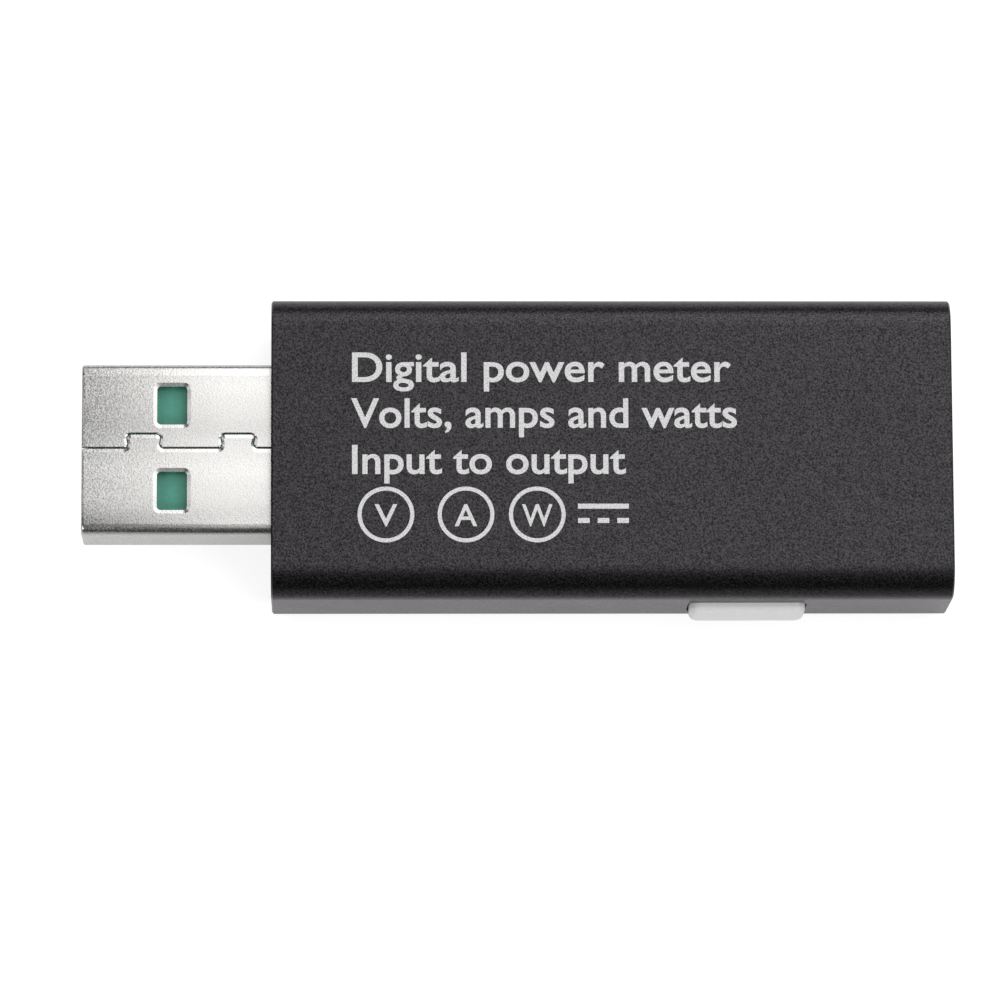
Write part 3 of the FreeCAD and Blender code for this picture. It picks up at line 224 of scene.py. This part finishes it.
def smoked_lens(node):
    """Polished smoked acrylic, black where a border is printed behind it and paler in the middle."""
    material = new_material("smoked_lens", ior=1.49, coat_weight=0.5, coat_roughness=0.02)
    low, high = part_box(node)
    start, end = (BORDER_MM - BORDER_BLUR_MM) * MM, (BORDER_MM + BORDER_BLUR_MM) * MM
    inside = None
    parts = add(material, "ShaderNodeSeparateXYZ", {0: place(material)})
    for axis in (0, 1):
        for edge, sign in ((low[axis], 1), (high[axis], -1)):
            away = maths(material, "SUBTRACT", parts.outputs[axis], edge)
            step = spread(material, maths(material, "MULTIPLY", away, sign), start, end)
            inside = step if inside is None else maths(material, "MULTIPLY", inside, step)
    dust = noise(material, 0.4)
    glass = mix(material, noise(material, 2.5), (0.016, 0.019, 0.022), (0.024, 0.028, 0.033))
    drive(material, "Base Color", mix(material, inside, (0.002, 0.002, 0.0022), glass))
    drive(material, "Roughness", spread(material, dust, 0.35, 0.8, 0.04, 0.10))
    bump(material, (noise(material, 6.0), 0.01))
    return material


def etched_label():
    """Anodising burnt away by a laser: pale, matte and granular."""
    material = new_material("etched_label", ior=1.4)
    grain = noise(material, 0.09, detail=1.0)
    colour = mix(material, spread(material, grain, 0.3, 0.6), (0.46, 0.46, 0.465), (0.80, 0.80, 0.80))
    drive(material, "Base Color", colour)
    drive(material, "Roughness", spread(material, grain, *MOST, 0.75, 0.55))
    bump(material, (grain, 0.01))
    return material


def board_laminate():
    """Solder resist over woven glass: the weave shows faintly through it in both directions."""
    material = new_material("board_laminate", ior=1.5)
    along = noise(material, 0.12, stretch=(WEAVE_STRETCH, 1, 1))
    across = noise(material, 0.12, stretch=(1, WEAVE_STRETCH, 1))
    weave = maths(material, "MULTIPLY", along, across)
    crossings = spread(material, weave, 0.15, 0.4)
    drive(material, "Base Color", mix(material, crossings, (0.008, 0.012, 0.010), (0.018, 0.026, 0.022)))
    drive(material, "Roughness", spread(material, noise(material, 2.0), *MOST, 0.28, 0.4))
    bump(material, (weave, 0.004))
    return material


METAL = {"metallic": 1.0}
CERAMIC = {"ior": 1.6}
PLASTIC = {"ior": 1.5}
WHITE = {"ior": 1.5, "subsurface_weight": 0.12, "subsurface_scale": 0.0006}
CLEAR = {"ior": 1.49, "transmission_weight": 0.8}

# Dark and pale colour, range of roughness, size of the grain and depth of the bump in mm, other values
FINISHES = {
    "black_plastic": ((0.014, 0.014, 0.0145), (0.028, 0.028, 0.029), (0.42, 0.52), 0.12, 0.006, PLASTIC),
    "black_tape": ((0.012, 0.012, 0.012), (0.03, 0.03, 0.03), (0.6, 0.75), 0.2, 0.008, {"ior": 1.45}),
    "white_plastic": ((0.92, 0.925, 0.92), (0.95, 0.955, 0.95), (0.30, 0.38), 0.35, 0.004, WHITE),
    "green_plastic": ((0.047, 0.262, 0.188), (0.057, 0.29, 0.21), (0.35, 0.45), 0.25, 0.004, PLASTIC),
    "gold_plate": ((0.86, 0.62, 0.26), (0.95, 0.74, 0.38), (0.18, 0.30), 0.3, 0.002, METAL),
    "tinned_metal": ((0.62, 0.62, 0.61), (0.78, 0.78, 0.77), (0.25, 0.42), 0.15, 0.004, METAL),
    "spring_steel": ((0.52, 0.52, 0.53), (0.64, 0.64, 0.65), (0.2, 0.34), 0.2, 0.002, METAL),
    "shunt_alloy": ((0.42, 0.34, 0.28), (0.54, 0.44, 0.37), (0.3, 0.45), 0.15, 0.004, METAL),
    "chip_epoxy": ((0.016, 0.016, 0.017), (0.034, 0.034, 0.035), (0.5, 0.65), 0.08, 0.005, {"ior": 1.55}),
    "ferrite": ((0.045, 0.045, 0.05), (0.09, 0.09, 0.096), (0.5, 0.7), 0.1, 0.008, CERAMIC),
    "capacitor_ceramic": ((0.36, 0.24, 0.14), (0.48, 0.33, 0.2), (0.35, 0.5), 0.1, 0.004, CERAMIC),
    "resistor_ceramic": ((0.02, 0.02, 0.02), (0.045, 0.045, 0.045), (0.25, 0.4), 0.1, 0.003, CERAMIC),
    "display_glass": ((0.03, 0.035, 0.04), (0.05, 0.055, 0.06), (0.03, 0.08), 2.0, 0.002, {"ior": 1.52}),
    "polariser": ((0.012, 0.012, 0.015), (0.02, 0.02, 0.024), (0.12, 0.2), 1.5, 0.002, {"ior": 1.49}),
    "reflector_plastic": ((0.76, 0.76, 0.74), (0.84, 0.84, 0.82), (0.3, 0.42), 0.4, 0.004, PLASTIC),
    "clear_plastic": ((0.86, 0.89, 0.9), (0.93, 0.95, 0.96), (0.04, 0.1), 1.2, 0.002, CLEAR),
    "polyimide": ((0.4, 0.17, 0.03), (0.52, 0.24, 0.055), (0.25, 0.38), 0.5, 0.003, {"ior": 1.6}),
    "foam": ((0.03, 0.03, 0.03), (0.075, 0.075, 0.075), (0.8, 0.95), 0.12, 0.03, {"ior": 1.4}),
}

MATERIALS = {
    "black_anodised": black_anodised(),
    "nickel_steel": nickel_steel(),
    "smoked_lens": smoked_lens("display_lens"),
    "etched_label": etched_label(),
    "board_laminate": board_laminate(),
}
for name, (dark, pale, rough, grain_mm, depth_mm, others) in FINISHES.items():
    MATERIALS[name] = textured(name, dark, pale, rough, grain_mm, depth_mm, **others)

for part in frame["record"]["subparts"]:
    body = frame["nodes"][part["node"]]
    body.data.materials.clear()
    body.data.materials.append(MATERIALS[part["material_slot"]])

# ---------------------------------------------------------------------------------------------
# Etched label: generic words and unit symbols, laid on the flat of the tube's label side
# ---------------------------------------------------------------------------------------------

# The label's plane is measured in mm from the middle of the tube's label side.
LABEL_LIFT = 0.012
LABEL_SINK = 0.01
MERGE_DISTANCE = 0.0005
CAP_SHARE = 0.729  # the font's cap height as a share of its size
FONT_DEPTH = 0.5  # any depth above zero does, because lettering() sets the height of every point

# Each line: words, left end, baseline, cap height, right end
LINES = (
    ("Digital power meter", -17.93, 4.43, 2.13, 8.22),
    ("Volts, amps and watts", -18.0, 1.21, 2.13, 8.60),
    ("Input to output", -17.93, -2.03, 2.10, 0.92),
)
LINE_WEIGHT = 0.014

# Each ringed letter: letter, its middle, half its width
RINGED = (("V", -15.6, 0.78), ("A", -10.1, 0.78), ("W", -5.2, 1.05))
RING_ROW, RING_RADIUS, RING_STROKE, RING_STEPS = -4.9, 1.95, 0.28, 64
RINGED_HEIGHT, RINGED_WEIGHT = 1.6, 0.01

# The direct-current symbol: a line over three dashes
DC_LEFT, DC_RIGHT = -2.4, 1.1
DC_LINE, DC_DASHES = (-4.5, -4.15), (-5.5, -5.15)
DASH_STARTS, DASH_LENGTH = (-2.4, -1.05, 0.3), 0.8
tube_low, tube_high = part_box("housing_tube")
LABEL_CENTRE = Vector(((tube_low.x + tube_high.x) / 2, (tube_low.y + tube_high.y) / 2, tube_high.z))


def lettering(words, left, baseline, cap_height, right, weight):
    """A line of words as a closed mesh, scaled to its cap height and to both its ends."""
    curve = bpy.data.curves.new("words", "FONT")
    curve.body = words
    curve.offset = weight
    curve.extrude = FONT_DEPTH
    words_object = bpy.data.objects.new("words", curve)
    bpy.context.scene.collection.objects.link(words_object)
    bpy.context.view_layer.update()
    evaluated = words_object.evaluated_get(bpy.context.evaluated_depsgraph_get())
    shape = bpy.data.meshes.new_from_object(evaluated)
    bpy.data.objects.remove(words_object)
    bpy.data.curves.remove(curve)
    xs = [v.co.x for v in shape.vertices]
    first = min(xs)
    wide = (right - left) / (max(xs) - first)
    tall = cap_height / CAP_SHARE
    for v in shape.vertices:
        raised = LABEL_LIFT if v.co.z > 0 else -LABEL_SINK
        v.co = ((v.co.x - first) * wide + left, v.co.y * tall + baseline, raised)
    return shape


def bar(made, x0, y0, x1, y1):
    """A flat rectangle in the label's plane."""
    corners = ((x0, y0), (x1, y0), (x1, y1), (x0, y1))
    made.faces.new([made.verts.new((x, y, -LABEL_SINK)) for x, y in corners])


def ring(made, x, y):
    """A flat ring in the label's plane."""
    angles = [2 * math.pi * i / RING_STEPS for i in range(RING_STEPS)]
    inner, outer = (
        [made.verts.new((x + r * math.cos(a), y + r * math.sin(a), -LABEL_SINK)) for a in angles]
        for r in (RING_RADIUS - RING_STROKE, RING_RADIUS)
    )
    for i in range(RING_STEPS):
        j = (i + 1) % RING_STEPS
        made.faces.new((inner[i], outer[i], outer[j], inner[j]))


def raise_faces(made):
    """Turns every flat face into a closed solid that stands up to the label's height."""
    grown = bmesh.ops.extrude_face_region(made, geom=made.faces[:], use_keep_orig=True)
    for item in grown["geom"]:
        if isinstance(item, bmesh.types.BMVert):
            item.co.z = LABEL_LIFT


def label_piece(name, shapes):
    """Joins label meshes into one piece that lies on the tube's label side."""
    made = bmesh.new()
    for shape in shapes:
        made.from_mesh(shape)
        bpy.data.meshes.remove(shape)
    bmesh.ops.remove_doubles(made, verts=made.verts, dist=MERGE_DISTANCE)
    to_tube = Matrix.Translation(LABEL_CENTRE) @ Matrix.Scale(MM, 4)
    bmesh.ops.transform(made, matrix=to_tube, verts=made.verts)
    bmesh.ops.recalc_face_normals(made, faces=made.faces)
    mesh = bpy.data.meshes.new(name)
    made.to_mesh(mesh)
    made.free()
    mesh.materials.append(MATERIALS["etched_label"])
    piece = bpy.data.objects.new(name, mesh)
    bpy.context.scene.collection.objects.link(piece)
    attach(piece, "housing")


def symbols():
    """Three ringed unit letters and the direct-current symbol, in one row."""
    shapes = []
    made = bmesh.new()
    baseline = RING_ROW - RINGED_HEIGHT / 2
    for letter, x, half in RINGED:
        ring(made, x, RING_ROW)
        shapes.append(lettering(letter, x - half, baseline, RINGED_HEIGHT, x + half, RINGED_WEIGHT))
    bar(made, DC_LEFT, DC_LINE[0], DC_RIGHT, DC_LINE[1])
    for start in DASH_STARTS:
        bar(made, start, DC_DASHES[0], start + DASH_LENGTH, DC_DASHES[1])
    raise_faces(made)
    flat = bpy.data.meshes.new("symbols")
    made.to_mesh(flat)
    made.free()
    return [*shapes, flat]


label_piece("label_lettering", [lettering(*line, LINE_WEIGHT) for line in LINES])
label_piece("label_symbols", symbols())

# ---------------------------------------------------------------------------------------------
# Studio: pale floor, soft panels, camera
# ---------------------------------------------------------------------------------------------

CEILING = 1.1
WORLD_DIM, WORLD_SEEN = 0.04, 0.95
FLOOR_HALF, FLOOR_GAP = 2.0, 0.02 * MM
FLOOR_GREY = (0.42, 0.42, 0.42, 1)
# The floor's glow as the camera sees it, and as the meter sees it: beside the meter and out in front
FLOOR_GLOW_SEEN, FLOOR_GLOW, FLOOR_GLOW_FAINT = 0.8, 0.48, 0.08
GLOW_NEAR, GLOW_FAR = 4 * MM, 14 * MM

LENS_MM, SENSOR_MM = 238.6, 36.0
CAMERA_PLACE = Vector((-10.79, -86.64, 457.624)) * MM
CAMERA_AHEAD = Vector((0.02103, 0.18241, -0.983))
CAMERA_RIGHT = Vector((0.99978, -0.00419, 0.02061))


def soft_lamp(name, width, depth, radiance):
    """A rectangular lamp of even brightness that shines down until it is turned."""
    lamp = bpy.data.lights.new(name, "AREA")
    lamp.shape = "RECTANGLE"
    lamp.size, lamp.size_y = width, depth
    lamp.energy = radiance * math.pi * width * depth
    holder = bpy.data.objects.new(name, lamp)
    bpy.context.scene.collection.objects.link(holder)
    return holder


def overhead(name, x_angles, y_angles, radiance):
    """A ceiling lamp that spans these angles from straight up, in degrees, as the meter sees it."""
    (x0, x1), (y0, y1) = (
        [CEILING * math.tan(math.radians(angle)) for angle in pair] for pair in (x_angles, y_angles)
    )
    holder = soft_lamp(name, x1 - x0, y1 - y0, radiance)
    holder.location = ((x0 + x1) / 2, (y0 + y1) / 2, CEILING)


def panel(name, bearing, height_angle, distance, width, depth, radiance):
    """A lamp that faces the meter from a bearing and an angle above the floor."""
    holder = soft_lamp(name, width, depth, radiance)
    b, h = math.radians(bearing), math.radians(height_angle)
    towards = Vector((math.cos(h) * math.cos(b), math.cos(h) * math.sin(b), math.sin(h)))
    holder.location = towards * distance
    holder.rotation_mode = "QUATERNION"
    holder.rotation_quaternion = towards.to_track_quat("Z", "Y")


def studio_floor():
    """A wide pale floor, clear from below. It glows from within, and the meter sees that glow fade in
    front of its button side."""
    mesh = bpy.data.meshes.new("floor")
    z = tube_low.z - FLOOR_GAP
    corners = [(x * FLOOR_HALF, y * FLOOR_HALF, z) for x, y in ((-1, -1), (1, -1), (1, 1), (-1, 1))]
    mesh.from_pydata(corners, [], [(0, 1, 2, 3)])
    floor = bpy.data.objects.new("floor", mesh)
    bpy.context.scene.collection.objects.link(floor)
    material = new_material("floor", base_color=FLOOR_GREY, roughness=0.9)
    shader = material.node_tree.nodes["Principled BSDF"]
    shader.inputs["Emission Color"].default_value = (1, 1, 1, 1)
    parts = add(material, "ShaderNodeSeparateXYZ", {0: place(material)})
    in_front = maths(material, "SUBTRACT", tube_low.y, parts.outputs[1])
    glow = spread(material, in_front, GLOW_NEAR, GLOW_FAR, FLOOR_GLOW, FLOOR_GLOW_FAINT, smooth=True)
    seen = add(material, "ShaderNodeLightPath").outputs["Is Camera Ray"]
    drive(material, "Emission Strength", spread(material, seen, 0.0, 1.0, glow, FLOOR_GLOW_SEEN))
    clear = add(material, "ShaderNodeBsdfTransparent")
    facing = add(material, "ShaderNodeNewGeometry")
    both = add(
        material,
        "ShaderNodeMixShader",
        {0: facing.outputs["Backfacing"], 1: shader.outputs[0], 2: clear.outputs[0]},
    )
    output = material.node_tree.nodes["Material Output"]
    material.node_tree.links.new(both.outputs[0], output.inputs["Surface"])
    mesh.materials.append(material)


def studio_world():
    """A dim even surround for the reflections, seen pale behind the meter."""
    world = bpy.data.worlds.new("studio")
    world.use_nodes = True
    nodes, links = world.node_tree.nodes, world.node_tree.links
    nodes.clear()
    dim = nodes.new("ShaderNodeBackground")
    dim.inputs["Strength"].default_value = WORLD_DIM
    pale = nodes.new("ShaderNodeBackground")
    pale.inputs["Strength"].default_value = WORLD_SEEN
    seen = nodes.new("ShaderNodeLightPath")
    both = nodes.new("ShaderNodeMixShader")
    output = nodes.new("ShaderNodeOutputWorld")
    links.new(seen.outputs["Is Camera Ray"], both.inputs[0])
    links.new(dim.outputs[0], both.inputs[1])
    links.new(pale.outputs[0], both.inputs[2])
    links.new(both.outputs[0], output.inputs["Surface"])
    bpy.context.scene.world = world


def camera():
    """The camera looks down on the label side, a little from the button's side."""
    lens = bpy.data.cameras.new("camera")
    lens.lens, lens.sensor_width = LENS_MM, SENSOR_MM
    lens.clip_start, lens.clip_end = 0.01, 10.0
    holder = bpy.data.objects.new("camera", lens)
    bpy.context.scene.collection.objects.link(holder)
    back = -CAMERA_AHEAD.normalized()
    right = (CAMERA_RIGHT - CAMERA_RIGHT.dot(back) * back).normalized()
    turned = Matrix((right, back.cross(right), back)).transposed().to_4x4()
    holder.matrix_world = Matrix.Translation(CAMERA_PLACE) @ turned
    bpy.context.scene.camera = holder


# Each overhead lamp: its angles along x and along y, and its brightness. They meet without overlapping.
overhead("key_panel", (-9, 52), (-8, 26), 1.7)
overhead("key_fringe", (-9, 45), (-30, -8), 0.4)
overhead("key_rear", (-9, 52), (26, 60), 2.3)
# Each panel: bearing, angle above the floor, distance, width, depth and brightness
panel("back_panel", 90, 30, 1.3, 2.0, 0.5, 0.7)
panel("tip_panel", 165, 46, 1.1, 0.5, 0.55, 1.2)
panel("left_panel", -132, 34, 1.2, 0.45, 0.45, 6.0)
panel("right_panel", -42, 34, 1.2, 0.45, 0.45, 6.0)
studio_floor()
studio_world()
camera()
bpy.context.scene.view_settings.view_transform = "Standard"
